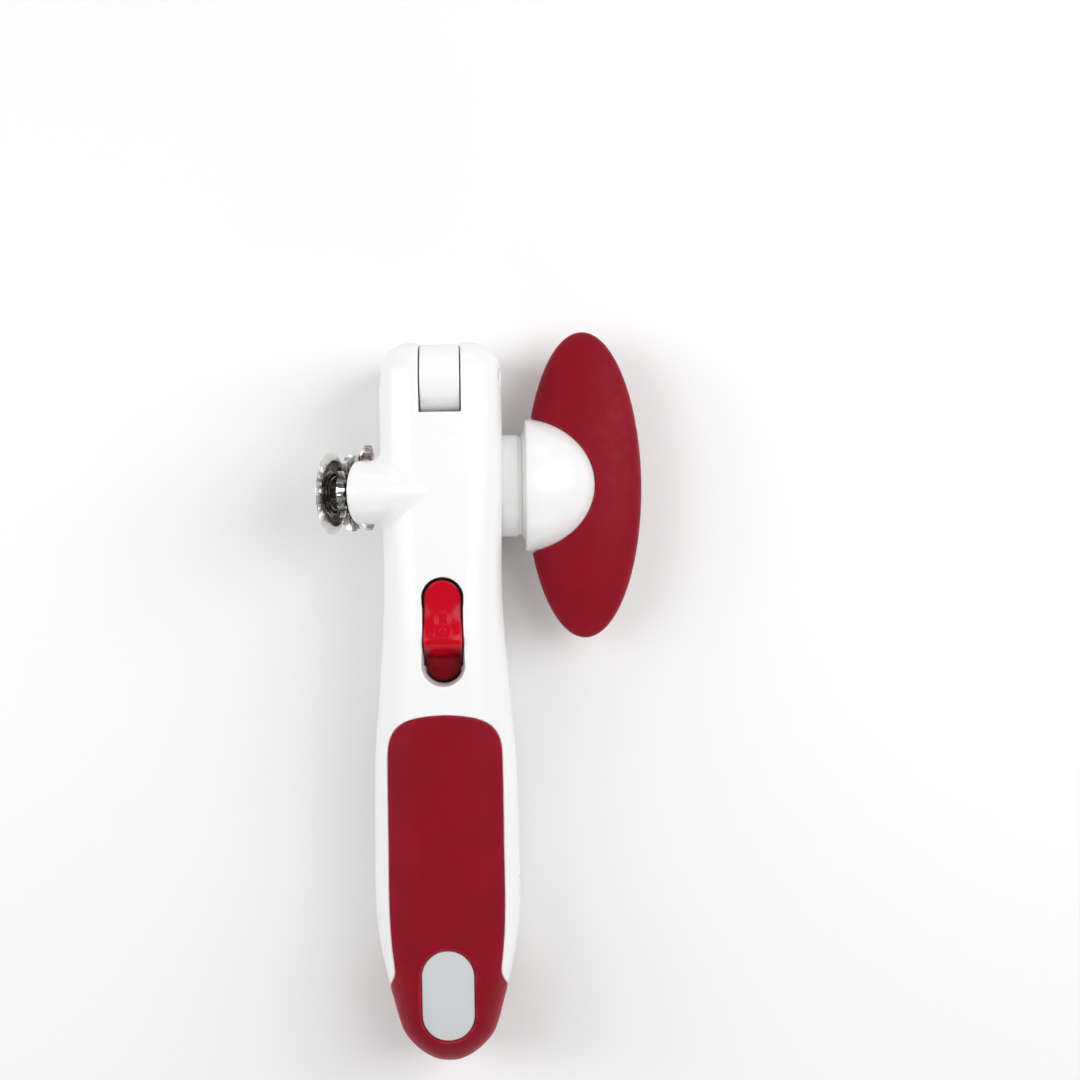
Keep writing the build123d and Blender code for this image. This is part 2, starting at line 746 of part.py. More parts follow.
with BuildPart() as lid_magnet:
    with BuildSketch(Plane.XZ.offset(-(NOSE_Y - MAGNET_L + 0.05))):
        with Locations((0, MAGNET_Z)):
            Circle(MAGNET_R)
    extrude(amount=-(MAGNET_L - 0.05))
    chamfer(lid_magnet.faces().sort_by(Axis.Y)[-1].edges(), 0.4)

# ---------------------------------------------------------------- write each piece
pieces = {
    "lower_shell": lower_shell,
    "lower_inner_cover": lower_inner_cover,
    "lower_grip": lower_grip,
    "lower_cover_screws": lower_cover_screws,
    "drive_bush_left": drive_bush_left,
    "drive_bush_right": drive_bush_right,
    "lid_magnet": lid_magnet,
    "latch_catch": latch_catch,
    "catch_screw": catch_screw,
    "upper_shell": upper_shell,
    "upper_inner_cover": upper_inner_cover,
    "upper_grip": upper_grip,
    "end_plate": end_plate,
    "upper_cover_screws": upper_cover_screws,
    "hinge_pin": hinge_pin,
    "cutter_axle": cutter_axle,
    "cutter_washer": cutter_washer,
    "lever_pin": lever_pin,
    "button_spring": button_spring,
    "cutting_wheel": cutting_wheel,
    "cutter_gear": cutter_gear,
    "drive_shaft": drive_shaft,
    "shaft_washer": shaft_washer,
    "drive_gear": drive_gear,
    "feed_wheel": feed_wheel,
    "knob_collar": knob_collar,
    "knob_hub": knob_hub,
    "knob_grip": knob_grip,
    "release_button": release_button,
    "latch_hook": latch_hook,
}
for name, piece in pieces.items():
    piece.part.label = name
    export_step(piece.part, f"parts/{name}.step")
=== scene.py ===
import json
import math

import bpy
import numpy as np
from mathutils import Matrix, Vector


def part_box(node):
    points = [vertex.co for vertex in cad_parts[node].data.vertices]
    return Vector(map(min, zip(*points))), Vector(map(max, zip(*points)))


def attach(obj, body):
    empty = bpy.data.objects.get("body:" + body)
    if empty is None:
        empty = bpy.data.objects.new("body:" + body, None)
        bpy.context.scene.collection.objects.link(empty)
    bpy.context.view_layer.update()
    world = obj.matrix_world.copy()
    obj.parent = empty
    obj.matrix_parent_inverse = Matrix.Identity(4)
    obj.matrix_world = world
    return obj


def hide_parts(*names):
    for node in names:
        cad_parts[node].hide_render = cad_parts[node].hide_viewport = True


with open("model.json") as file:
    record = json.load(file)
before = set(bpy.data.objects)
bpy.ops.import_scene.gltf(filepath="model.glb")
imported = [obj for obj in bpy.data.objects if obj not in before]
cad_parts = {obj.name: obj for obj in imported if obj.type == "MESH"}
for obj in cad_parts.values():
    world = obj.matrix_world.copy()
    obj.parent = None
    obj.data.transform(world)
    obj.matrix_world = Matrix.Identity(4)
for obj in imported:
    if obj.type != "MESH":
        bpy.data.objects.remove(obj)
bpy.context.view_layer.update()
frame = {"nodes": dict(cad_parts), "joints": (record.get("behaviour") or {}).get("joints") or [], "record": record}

# Manual can opener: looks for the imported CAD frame. Shapes are worked out in millimetres
# in the row frame and written to Blender in metres.
MM = 0.001

# ------------------------------------------------------------------ places from the frame


def box_mm(node):
    low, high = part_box(node)
    return np.array(low) / MM, np.array(high) / MM


def middle_mm(node):
    low, high = box_mm(node)
    return (low + high) / 2


joints = {joint["name"]: joint for joint in frame["joints"]}
PIN = np.array(joints["handle_hinge"]["pos_m"]) / MM
SHAFT = np.array(joints["knob_spin"]["pos_m"]) / MM
DISC = np.array(joints["cutter_spin"]["pos_m"]) / MM
AXLE = np.array(joints["cutter_spin"]["axis"])
ALONG_X = np.array([1.0, 0.0, 0.0])

NOSE_Y = box_mm("upper_shell")[1][1]
TIP_Y = box_mm("upper_grip")[0][1]
HEAD_HALF = 14.85
SEAM_GAP = 0.6
CHEEK_R = 9.2
SEAM_SLOPE = 0.0312
SEAM_AT_PIN = PIN[2] - CHEEK_R - SEAM_GAP / 2
KNUCKLE_R = 8.2
KNUCKLE_HALF = 4.8
COVER_DEPTH = 2.4
GRIP_DEPTH = 2.2
WINDOW_Y = -35.6
WINDOW_W = 10.2
WINDOW_L = 26.6
GRIP_FRONT = -55.7
GRIP_HALF = 13.9
ARCH_DEPTH = 10.0
ARCH_POWER = 2.35

# ------------------------------------------------------------------ solid fields in millimetres
# Each field is a function of x, y and z that is negative inside the solid.


def both(a, b, r=0.0):
    """Where both solids are, with the edge between them rounded to radius r."""
    return np.minimum(np.maximum(a, b), -r) + np.hypot(np.maximum(a + r, 0), np.maximum(b + r, 0))


def either(a, b, r):
    """Both solids joined, with a fillet of radius r between them."""
    return np.maximum(np.minimum(a, b), r) - np.hypot(np.maximum(r - a, 0), np.maximum(r - b, 0))


def less(a, b, r=0.0):
    """The first solid with the second cut out of it, the cut's edge rounded to radius r."""
    return both(a, -b, r)


def curve(rows, column):
    """A smooth function through one column of a table whose first column is y."""
    table = sorted((row[0], row[column]) for row in rows)
    at = np.array([row[0] for row in table])
    value = np.array([row[1] for row in table])
    slope = np.gradient(value, at)

    def smooth(y):
        i = np.clip(np.searchsorted(at, y) - 1, 0, len(at) - 2)
        span = at[i + 1] - at[i]
        t = np.clip((y - at[i]) / span, 0, 1)
        rise = value[i + 1] - value[i]
        near, far = slope[i] * span, slope[i + 1] * span
        return value[i] + t * near + t * t * (3 * rise - 2 * near - far) + t**3 * (near + far - 2 * rise)

    return smooth


# y, half width, top, bottom, corner radius
BODY = [
    (40, HEAD_HALF, 42.9, 0.0, 8.0),
    (0, HEAD_HALF, 42.9, 0.0, 8.2),
    (-27, 14.45, 42.3, 0.0, 9.0),
    (-48, 15.8, 41.3, 0.0, 10.0),
    (-66, 17.3, 40.4, 0.0, 11.0),
    (-86, 17.8, 39.8, 0.0, 12.0),
    (-112, 17.0, 39.0, 0.0, 12.0),
    (-121, 15.2, 38.5, 0.1, 11.4),
    (-128, 13.4, 37.8, 0.5, 10.4),
    (-133.5, 11.8, 36.8, 1.2, 9.2),
    (-138.5, 9.8, 35.4, 2.2, 8.2),
    (-146, 6.8, 32.6, 4.2, 6.2),
]
half_width, top_of, bottom_of, corner_of = (curve(BODY, column) for column in (1, 2, 3, 4))
CROWN = 1.1
NOSE_ROUND = 7.6
TIP_ROUND = 9.0


def body(x, y, z):
    """The whole outer form, before it is parted into halves."""
    w, r = half_width(y), corner_of(y)
    top = top_of(y) - CROWN * np.minimum(np.abs(x) / w, 1) ** 2
    bottom = bottom_of(y)
    across = np.abs(x) - (w - r)
    upward = np.abs(z - (top + bottom) / 2) - ((top - bottom) / 2 - r)
    d = np.hypot(np.maximum(across, 0), np.maximum(upward, 0))
    d = d + np.minimum(np.maximum(across, upward), 0) - r
    d = both(d, y - NOSE_Y, NOSE_ROUND)
    return both(d, TIP_Y - y, TIP_ROUND)


def round_x(y, z, centre, radius):
    """A cylinder without ends along X."""
    return np.hypot(y - centre[1], z - centre[2]) - radius


def seam_z(y):
    return SEAM_AT_PIN + (y - PIN[1]) * SEAM_SLOPE


def above_seam(x, y, z):
    """The upper half's side of the seam, which runs round the hinge pin at the nose."""
    flat = seam_z(y) + SEAM_GAP / 2 - z
    nose = np.where(z > PIN[2], y - PIN[1] - CHEEK_R, round_x(y, z, PIN, CHEEK_R))
    return np.where(y < PIN[1], flat, nose)


def below_seam(x, y, z):
    flat = z - seam_z(y) + SEAM_GAP / 2
    seat = CHEEK_R + SEAM_GAP
    nose = np.where(z > PIN[2], PIN[1] + seat - y, -round_x(y, z, PIN, seat))
    return np.where(y < PIN[1], flat, nose)


def stadium(x, y, centre_y, width, length):
    """An upright stadium-shaped prism without ends."""
    run = (length - width) / 2
    return np.hypot(x, np.maximum(np.abs(y - centre_y) - run, 0)) - width / 2


def grip_outline(x, y, z):
    """Outline of a grip: a full arch at the front, sides that run along the rounded edges of
    the handle, and from there down to the seam round the tip."""
    half = GRIP_HALF + 0.6 * np.clip((GRIP_FRONT - y) / 45, 0, 1)
    half = half - 0.6 * np.clip((-100 - y) / 22, 0, 1) ** 2
    top, bottom = top_of(y), bottom_of(y)
    depth = (top - bottom) / 2 - np.abs(z - (top + bottom) / 2)
    dive = 4.0 + 26 * np.clip((-118 - y) / 10, 0, 1) ** 2
    side = np.maximum(half + 0.707 * (np.abs(x) - half + depth - dive), 0)
    rise = np.maximum(y - GRIP_FRONT + ARCH_DEPTH, 0) / ARCH_DEPTH
    k = ((side / half) ** ARCH_POWER + rise**ARCH_POWER + 1e-12) ** (1 / ARCH_POWER)
    steep = 1 / half + (1 / ARCH_DEPTH - 1 / half) * np.clip(rise, 0, 1) ** 2
    return (k - 1) / steep


def grip(x, y, z, seam, grow, edge):
    """A grip on one half; grow widens it for the bed that it lies in."""
    form = body(x, y, z)
    skin = both(form - 2 * grow, -(form + GRIP_DEPTH + grow), 0)
    d = both(skin, grip_outline(x, y, z) - grow, edge)
    return both(d, seam(x, y, z) - grow, edge)


def upper_grip(x, y, z):
    d = grip(x, y, z, above_seam, 0.0, 0.42)
    return less(d, np.maximum(plate_plan(x, y) - 0.16, 26 - z), 0.6)


def lower_grip(x, y, z):
    return grip(x, y, z, below_seam, 0.0, 0.42)


plate_low, plate_high = box_mm("end_plate")
PLATE_Y = (plate_low[1] + plate_high[1]) / 2
PLATE_W = plate_high[0] - plate_low[0]
PLATE_L = plate_high[1] - plate_low[1]


def plate_plan(x, y):
    return stadium(x, y, PLATE_Y, PLATE_W, PLATE_L)


def end_plate(x, y, z):
    form = body(x, y, z)
    d = np.maximum(both(form + 0.55, plate_plan(x, y), 0.35), -(form + 2.1))
    return np.maximum(d, 26 - z)


MOUTH_AT = 6.7
MOUTH_R = 7.7
CONE_LENGTH = 18.7
CONE_POWER = 1.7
mouth = DISC + MOUTH_AT * AXLE


def from_line(x, y, z, origin, direction):
    """Distance along a line, and away from it."""
    dx, dy, dz = x - origin[0], y - origin[1], z - origin[2]
    t = dx * direction[0] + dy * direction[1] + dz * direction[2]
    away = np.sqrt(np.maximum(dx * dx + dy * dy + dz * dz - t * t, 0))
    return t, away


def cone(x, y, z):
    """The cutter's cone, bulging from a flat mouth to a soft tip in the head's front."""
    t, away = from_line(x, y, z, mouth, AXLE)
    share = np.clip(t / CONE_LENGTH, 0, 1)
    radius = MOUTH_R * (1 - share**CONE_POWER)
    lean = MOUTH_R * CONE_POWER / CONE_LENGTH * share ** (CONE_POWER - 1)
    side = (away - radius) / np.sqrt(1 + lean * lean)
    beyond = np.hypot(away, np.maximum(t - CONE_LENGTH, 0))
    return np.where(t > CONE_LENGTH, beyond, both(side, -t, 0.6))


def cone_fillet(x, y, z):
    """Radius of the fillet beside the cone, which dies out at its tip."""
    t, _ = from_line(x, y, z, mouth, AXLE)
    return 0.3 + 5.0 * np.clip(1 - t / CONE_LENGTH, 0, 1)


def cover_bed(x, y, z, sign, front):
    """The shallow recess that an inner cover lies in."""
    wall = 2.35 + 2.0 * np.clip((-51.0 - y) / 1.2, 0, 1)
    depth = sign * (z - seam_z(y)) - SEAM_GAP / 2 - COVER_DEPTH
    return np.maximum(np.maximum(body(x, y, z) + wall, depth), np.maximum(y - front, -127.2 - y))


def upper_shell(x, y, z):
    d = both(body(x, y, z), above_seam(x, y, z), 0.5)
    d = less(d, cover_bed(x, y, z, 1, 11.2), 0.2)
    d = either(d, cone(x, y, z), cone_fillet(x, y, z))
    gear_room = np.maximum(round_x(y, z, SHAFT, 12.2), x + HEAD_HALF + 0.3)
    d = less(d, gear_room, 0.4)
    collar_seat = np.maximum(round_x(y, z, SHAFT, 13.3), 14.0 - x)
    d = less(d, collar_seat, 0.4)
    slot = np.maximum(np.abs(x) - KNUCKLE_HALF - 0.32, PIN[1] - KNUCKLE_R - 0.42 - y)
    d = less(d, slot, 0.45)
    d = less(d, round_x(y, z, PIN, 2.08), 0.3)
    draft = (0.02 + 0.1 * np.clip((-36 - y) / 10, 0, 1)) * np.maximum(z - 36.5, 0)
    draft = draft + 0.42 * np.clip((y + 30) / 4, 0, 1) * np.clip(42.4 - z, 0, 6)
    well = np.maximum(stadium(x, y, WINDOW_Y + 0.2, WINDOW_W - 0.6, WINDOW_L - 1.0) - draft, 24 - z)
    d = less(d, well, 0.3)
    _, away = from_line(x, y, z, DISC, AXLE)
    square, _ = from_line(x, y, z, mouth, AXLE)
    d = less(d, both(away - 2.6, square - 8), 0.2)
    return less(d, grip(x, y, z, above_seam, 0.07, 0.0), 0.3)


def lower_shell(x, y, z):
    d = both(body(x, y, z), below_seam(x, y, z), 0.5)
    d = less(d, cover_bed(x, y, z, -1, -10.0), 0.2)
    hub = round_x(y, z, PIN, KNUCKLE_R)
    neck = np.maximum(np.abs(y - PIN[1]) - KNUCKLE_R, np.abs(z - 27) - 8)
    knuckle = both(np.minimum(hub, neck), np.abs(x) - KNUCKLE_HALF, 0.45)
    d = either(d, knuckle, 0.5)
    d = less(d, round_x(y, z, PIN, 2.05), 0.2)
    d = less(d, np.maximum(round_x(y, z, SHAFT, 13.3), 14.0 - x), 0.4)
    d = less(d, np.maximum(round_x(y, z, SHAFT, 5.04), 8 - x), 0.25)
    d = less(d, np.maximum(round_x(y, z, SHAFT, 5.04), x + 10), 0.25)
    latch_well = np.maximum(np.abs(x) - 5.4, np.maximum(np.abs(y + 38) - 10, 14 - z))
    d = less(d, latch_well, 0.2)
    magnet = middle_mm("lid_magnet")
    pocket = np.maximum(np.hypot(x, z - magnet[2]) - 6.1, NOSE_Y - 4.0 - y)
    d = less(d, pocket, 0.35)
    return less(d, grip(x, y, z, below_seam, 0.07, 0.0), 0.3)


wing_low, wing_high = box_mm("knob_grip")
WING_MIDDLE = (wing_low + wing_high) / 2
WING_MIDDLE[0] = wing_high[0] - 14.7
WING_SEMI = (14.6, 38.5, 7.2)
DOME_X = 21.8
DOME_R = 16.6
DOME_DEPTH = 17.6


def knob_grip(x, y, z):
    """The soft wing, a flat lens with the dome let into it."""
    u, v, w = ((p - c) / s for p, c, s in zip((x, y, z), WING_MIDDLE, WING_SEMI))
    plan = np.sqrt(u * u + v * v + 1e-9)
    d = ((plan**2.2 + np.abs(w) ** 2.2) ** (1 / 2.2) - 1) * 7.5
    run = (x - DOME_X) / DOME_DEPTH
    dome = (np.sqrt(run * run + (y * y + (z - SHAFT[2]) ** 2) / DOME_R**2) - 1) * DOME_R
    return less(d, dome - 0.12, 0.45)


BUTTON_W = 9.34
button_low, button_high = box_mm("release_button")
LEVER = np.array(joints["release_press"]["pos_m"]) / MM
BUTTON_TOP = [
    (-48.2, 35.3),
    (-46.0, 35.5),
    (-43.5, 35.8),
    (-42.0, 36.8),
    (-40.4, 39.8),
    (-39.1, 42.3),
    (-37.9, 43.0),
    (-36.4, 42.9),
    (-33.5, 41.9),
    (-30.0, 41.35),
    (-26.5, 41.6),
    (-22.8, 42.3),
]
button_top = curve(BUTTON_TOP, 1)


def padlock(x, y):
    """Height of the raised padlock sign: a rounded body with an open arch over it."""
    plate = both(np.abs(x) - 2.15, np.abs(y + 35.2) - 1.6, 0.5)
    plate = np.maximum(plate, 0.62 - np.hypot(x, y + 35.2))
    arch = np.abs(np.hypot(x, np.maximum(y + 32.2, 0)) - 1.5) - 0.32
    arch = np.maximum(arch, -33.7 - y)
    return 0.24 * np.clip(0.5 - np.minimum(plate, arch) / 0.3, 0, 1)


def release_button(x, y, z):
    crown = 0.5 * (np.abs(x) / (BUTTON_W / 2)) ** 2
    top = (z - button_top(y) + crown - padlock(x, y)) * 0.8
    length = button_high[1] - button_low[1]
    plan = stadium(x, y, (button_low[1] + button_high[1]) / 2, BUTTON_W, length)
    d = both(plan, top, 0.5)
    under = np.where(y > -40.2, 36.2, 31.2)
    d = both(d, under - z, 0.3)
    d = less(d, round_x(y, z, LEVER, 1.25))
    hook = np.maximum(np.abs(x) - 3.1, np.abs(y + 41.8) - 0.9)
    return less(d, np.maximum(hook, z - 35.1))


# ------------------------------------------------------------------ meshes


def add_mesh(name, points, faces, normals=None):
    """A new object from points in millimetres."""
    mesh = bpy.data.meshes.new(name)
    mesh.from_pydata((np.asarray(points) * MM).tolist(), [], [list(face) for face in faces])
    mesh.validate()
    mesh.update()
    mesh.polygons.foreach_set("use_smooth", [True] * len(mesh.polygons))
    if normals is not None:
        mesh.normals_split_custom_set_from_vertices(normals.tolist())
    piece = bpy.data.objects.new(name, mesh)
    bpy.context.scene.collection.objects.link(piece)
    return piece


def slope_of(field, p, reach=0.02):
    """The field's gradient at points p."""
    parts = []
    for axis in range(3):
        step = np.zeros(3)
        step[axis] = reach
        parts.append((field(*(p + step).T) - field(*(p - step).T)) / (2 * reach))
    return np.stack(parts, axis=1)


def surface_net(name, field, low, high, step):
    """A quad mesh on the surface where a field is zero, with its normals from the field."""
    low, high = np.asarray(low, float), np.asarray(high, float)
    axes = [np.arange(a - 2.3 * step, b + 3.3 * step, step) for a, b in zip(low, high)]
    size = np.array([len(axis) for axis in axes])
    value = np.concatenate(
        [
            field(*np.meshgrid(part, axes[1], axes[2], indexing="ij"))
            for part in np.array_split(axes[0], 4)
        ]
    )
    inside = value < 0
    cells = size - 1
    total = np.zeros((int(np.prod(cells)), 3))
    count = np.zeros(len(total))
    quads = []
    for axis in range(3):
        near = [slice(None)] * 3
        far = [slice(None)] * 3
        near[axis], far[axis] = slice(0, -1), slice(1, None)
        near, far = tuple(near), tuple(far)
        crossing = inside[near] != inside[far]
        at = np.argwhere(crossing)
        first, second = value[near][crossing], value[far][crossing]
        point = at.astype(float)
        point[:, axis] += first / (first - second)
        one, two = (axis + 1) % 3, (axis + 2) % 3
        corners = []
        for back_one, back_two in ((1, 1), (0, 1), (0, 0), (1, 0)):
            cell = at.copy()
            cell[:, one] -= back_one
            cell[:, two] -= back_two
            flat = np.ravel_multi_index(cell.T, cells, mode="clip")
            for k in range(3):
                total[:, k] += np.bincount(flat, point[:, k], len(total))
            count += np.bincount(flat, minlength=len(total))
            corners.append(flat)
        quad = np.stack(corners, axis=1)
        turned = inside[far][crossing]
        quad[turned] = quad[turned][:, ::-1]
        quads.append(quad)
    used = np.flatnonzero(count)
    points = total[used] / count[used, None] * step + np.array([axis[0] for axis in axes])
    number = np.zeros(len(total), int)
    number[used] = np.arange(len(used))
    for _ in range(3):
        gradient = slope_of(field, points)
        length = np.maximum((gradient**2).sum(1), 0.04)
        move = -(field(*points.T) / length)[:, None] * gradient
        far_off = np.linalg.norm(move, axis=1) / (0.5 * step)
        points = points + move / np.maximum(far_off, 1)[:, None]
    normals = slope_of(field, points, 0.06)
    normals /= np.maximum(np.linalg.norm(normals, axis=1), 1e-6)[:, None]
    piece = add_mesh(name, points, number[np.concatenate(quads)], normals)
    mark_edges(piece, field, points)
    return piece


EDGE_REACH = 0.35


def mark_edges(piece, field, points):
    """Writes how sharply the surface turns outwards at each point, from 0 to 1."""
    middle = field(*points.T)
    total = -6 * middle
    for axis in range(3):
        step = np.zeros(3)
        step[axis] = EDGE_REACH
        total = total + field(*(points + step).T) + field(*(points - step).T)
    bend = np.clip((total / EDGE_REACH**2 - 0.5) / 1.6, 0, 1)
    layer = piece.data.attributes.new("edge", "FLOAT", "POINT")
    layer.data.foreach_set("value", bend.astype(np.float32))


def frame_of(axis):
    """Two directions square to an axis, as rows."""
    axis = np.asarray(axis, float)
    side = np.array([0.0, 1.0, 0.0])
    other = np.cross(axis, side)
    other /= np.linalg.norm(other)
    return np.cross(other, axis), other


def rings_mesh(name, origin, axis, rings, sharp):
    """A skin over a closed row of rings of equal size; each ring is (along, radii, angles)."""
    side, other = frame_of(axis)
    points = []
    for along, radii, angles in rings:
        ring = np.outer(radii * np.cos(angles), side) + np.outer(radii * np.sin(angles), other)
        points.append(np.asarray(origin) + along * np.asarray(axis) + ring)
    n = len(points[0])
    faces = []
    for i in range(len(rings)):
        j = (i + 1) % len(rings)
        for k in range(n):
            m = (k + 1) % n
            faces.append((i * n + k, i * n + m, j * n + m, j * n + k))
    piece = add_mesh(name, np.concatenate(points), faces)
    piece.data.set_sharp_from_angle(angle=math.radians(sharp))
    return piece


def lathe(name, origin, axis, profile, segments, sharp=32):
    """A turned piece from a closed profile of (along, radius), listed backwards round the metal."""
    angles = np.linspace(0, 2 * math.pi, segments, endpoint=False)
    rings = [(along, np.full(segments, max(radius, 0.01)), angles) for along, radius in profile]
    return rings_mesh(name, origin, axis, rings, sharp)


def arc(centre, radius, start, end, steps):
    """Points of a profile arc, angles in degrees from the along direction."""
    turn = np.radians(np.linspace(start, end, steps))
    return [(centre[0] + radius * math.cos(a), centre[1] + radius * math.sin(a)) for a in turn]


def toothed(name, origin, axis, teeth, shape, layers, bore, phase):
    """A toothed wheel. shape is a list of (turn in pitches, radius); layers are (along, how far
    the outline is drawn in, share of the tooth that stands there)."""
    pitch = 2 * math.pi / teeth
    root = min(radius for _, radius in shape)
    number = np.repeat(np.arange(teeth), len(shape))
    turn = np.tile([part for part, _ in shape], teeth)
    radii = np.tile([radius for _, radius in shape], teeth)
    rings = []
    for along, inset, share in layers:
        turns = (number + turn * (0.25 + 0.75 * share)) * pitch + phase
        rings.append((along, root + (radii - root) * share - inset, turns))
    rings.append((layers[-1][0], np.full(len(turn), bore), rings[-1][2]))
    rings.append((layers[0][0], np.full(len(turn), bore), rings[0][2]))
    return rings_mesh(name, origin, axis, rings, 24)


# ------------------------------------------------------------------ materials


def links(material):
    return material.node_tree.nodes, material.node_tree.links


def start_material(name, color, roughness, metallic=0.0, **sockets):
    """A Principled material with its constant sockets set."""
    material = bpy.data.materials.new(name)
    material.use_nodes = True
    shader = material.node_tree.nodes["Principled BSDF"]
    shader.inputs["Base Color"].default_value = (*color, 1)
    shader.inputs["Roughness"].default_value = roughness
    shader.inputs["Metallic"].default_value = metallic
    for socket, value in sockets.items():
        shader.inputs[socket.replace("_", " ")].default_value = value
    return material, shader


def noise(material, scale, detail):
    nodes, wires = links(material)
    texture = nodes.new("ShaderNodeTexNoise")
    texture.inputs["Scale"].default_value = scale
    texture.inputs["Detail"].default_value = detail
    place = nodes.new("ShaderNodeTexCoord")
    wires.new(place.outputs["Object"], texture.inputs["Vector"])
    return texture.outputs["Fac"]


def spread(material, source, low, high, to_low, to_high):
    """Maps a value from one range to another."""
    nodes, wires = links(material)
    node = nodes.new("ShaderNodeMapRange")
    limits = {"From Min": low, "From Max": high, "To Min": to_low, "To Max": to_high}
    for socket, value in limits.items():
        node.inputs[socket].default_value = value
    wires.new(source, node.inputs["Value"])
    return node.outputs["Result"]


def blend_colors(material, factor, first, second):
    nodes, wires = links(material)
    node = nodes.new("ShaderNodeMix")
    node.data_type = "RGBA"
    wires.new(factor, node.inputs["Factor"])
    for socket, color in ((node.inputs[6], first), (node.inputs[7], second)):
        if isinstance(color, tuple):
            socket.default_value = (*color, 1)
        else:
            wires.new(color, socket)
    return node.outputs[2]


def bump(material, shader, height, strength, distance):
    nodes, wires = links(material)
    node = nodes.new("ShaderNodeBump")
    node.inputs["Strength"].default_value = strength
    node.inputs["Distance"].default_value = distance
    wires.new(height, node.inputs["Height"])
    wires.new(node.outputs["Normal"], shader.inputs["Normal"])


def worn_edges(material):
    """1 on handled edges, 0 elsewhere, broken up so that the wear isn't an even line."""
    nodes, wires = links(material)
    mark = nodes.new("ShaderNodeAttribute")
    mark.attribute_name = "edge"
    patches = spread(material, noise(material, 260, 4), 0.4, 0.62, 0.25, 1)
    product = nodes.new("ShaderNodeMath")
    product.operation = "MULTIPLY"
    wires.new(mark.outputs["Fac"], product.inputs[0])
    wires.new(patches, product.inputs[1])
    return product.outputs[0]


def moulded_plastic(name, color, edge_color, roughness, grain, coat):
    """Moulded plastic: a faint mottle, uneven gloss, fine orange peel and handled edges."""
    material, shader = start_material(name, color, roughness, Coat_Weight=coat, Coat_Roughness=0.08)
    _, wires = links(material)
    mottle = spread(material, noise(material, 40, 2), 0.35, 0.65, 0, 1)
    shade = blend_colors(material, mottle, color, tuple(c * 0.985 for c in color))
    wear = worn_edges(material)
    wires.new(blend_colors(material, wear, shade, edge_color), shader.inputs["Base Color"])
    gloss = spread(material, noise(material, 45, 2), 0.3, 0.7, roughness * 0.9, roughness * 1.12)
    wires.new(gloss, shader.inputs["Roughness"])
    bump(material, shader, noise(material, grain, 2), 0.05, 0.0001)
    return material


def paint_hollow_shade(material, reach, color):
    """Paints shade into the base color: mixes a darker color in where the surface lies in a hollow, as ambient
    occlusion finds it.
    """
    nodes, wires = links(material)
    shader = nodes["Principled BSDF"]
    surface = shader.inputs["Base Color"].links[0].from_socket
    shade = nodes.new("ShaderNodeAmbientOcclusion")
    shade.samples = 8
    shade.inputs["Distance"].default_value = reach
    open_air = spread(material, shade.outputs["AO"], 0.3, 0.85, 1, 0)
    wires.new(blend_colors(material, open_air, surface, color), shader.inputs["Base Color"])


def soft_touch(name, color, edge_color):
    """Rubbery coat: satin, with a velvety edge and a fine grain."""
    material, shader = start_material(
        name, color, 0.5, Sheen_Weight=0.45, Sheen_Roughness=0.3, Sheen_Tint=(1, 0.3, 0.38, 1)
    )
    shader.inputs["Specular IOR Level"].default_value = 0.12
    _, wires = links(material)
    mottle = spread(material, noise(material, 90, 5), 0.35, 0.65, 0, 1)
    shade = blend_colors(material, mottle, color, tuple(c * 0.86 for c in color))
    wear = worn_edges(material)
    wires.new(blend_colors(material, wear, shade, edge_color), shader.inputs["Base Color"])
    gloss = spread(material, noise(material, 500, 6), 0.3, 0.7, 0.44, 0.62)
    wires.new(gloss, shader.inputs["Roughness"])
    bump(material, shader, noise(material, 4200, 2), 0.16, 0.00008)
    return material


def turned_metal(name, color, roughness, centre, axis, rings, stain=None):
    """Metal turned on a lathe: fine rings about an axis, with cloudy marks of handling."""
    material, shader = start_material(name, color, roughness, 1.0)
    nodes, wires = links(material)
    place = nodes.new("ShaderNodeTexCoord")
    shift = nodes.new("ShaderNodeVectorMath")
    shift.operation = "SUBTRACT"
    wires.new(place.outputs["Object"], shift.inputs[0])
    shift.inputs[1].default_value = tuple(np.asarray(centre) * MM)
    across = nodes.new("ShaderNodeVectorMath")
    across.operation = "CROSS_PRODUCT"
    wires.new(shift.outputs[0], across.inputs[0])
    across.inputs[1].default_value = tuple(axis)
    radius = nodes.new("ShaderNodeVectorMath")
    radius.operation = "LENGTH"
    wires.new(across.outputs[0], radius.inputs[0])
    lines = nodes.new("ShaderNodeTexNoise")
    lines.noise_dimensions = "1D"
    lines.inputs["Scale"].default_value = rings
    lines.inputs["Detail"].default_value = 4
    wires.new(radius.outputs["Value"], lines.inputs["W"])
    cloud = spread(material, noise(material, 140, 3), 0.35, 0.65, 0, 1)
    dull = stain or tuple(c * 0.86 for c in color)
    wires.new(blend_colors(material, cloud, color, dull), shader.inputs["Base Color"])
    gloss = spread(material, lines.outputs["Fac"], 0.3, 0.7, roughness * 0.7, roughness * 1.5)
    wires.new(gloss, shader.inputs["Roughness"])
    bump(material, shader, lines.outputs["Fac"], 0.25, 0.00004)
    return material


